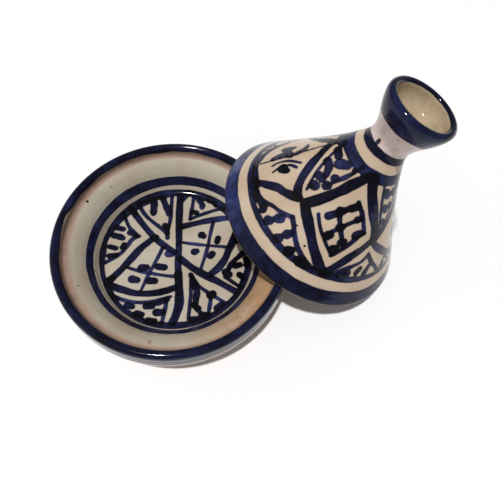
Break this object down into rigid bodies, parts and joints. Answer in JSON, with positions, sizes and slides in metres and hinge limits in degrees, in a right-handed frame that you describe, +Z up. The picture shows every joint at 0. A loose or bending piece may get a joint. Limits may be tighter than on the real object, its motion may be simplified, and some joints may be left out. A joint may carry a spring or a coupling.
{
  "type": "tagine pot",
  "caption": "Small glazed earthenware tagine: a low round dish with a sunk well, and a conical lid with a cupped knob, lifted off and leaning on the dish.",
  "frame": {"origin": "centre of the dish's flat foot, on the table", "axes": "+Z up along the dish's axis; +X from the dish towards the lid that leans on it; +Y completes the right-handed frame"},
  "size_m": [0.2365, 0.1524, 0.1292],
  "materials": {
    "dish_glaze": "glossy cream tin glaze over buff earthenware, painted by hand in cobalt blue before the glaze firing",
    "lid_glaze": "glossy cream tin glaze over buff earthenware, painted by hand in cobalt blue before the glaze firing"
  },
  "bodies": {
    "dish": {"dish": "dish_glaze"},
    "lid": {"lid": "lid_glaze"}
  },
  "joints": [
    {"name": "lid_lift", "type": "slide", "parent": "dish", "child": "lid", "axis": [0, 0, 1], "range_m": [0, 0.12]}
  ]
}
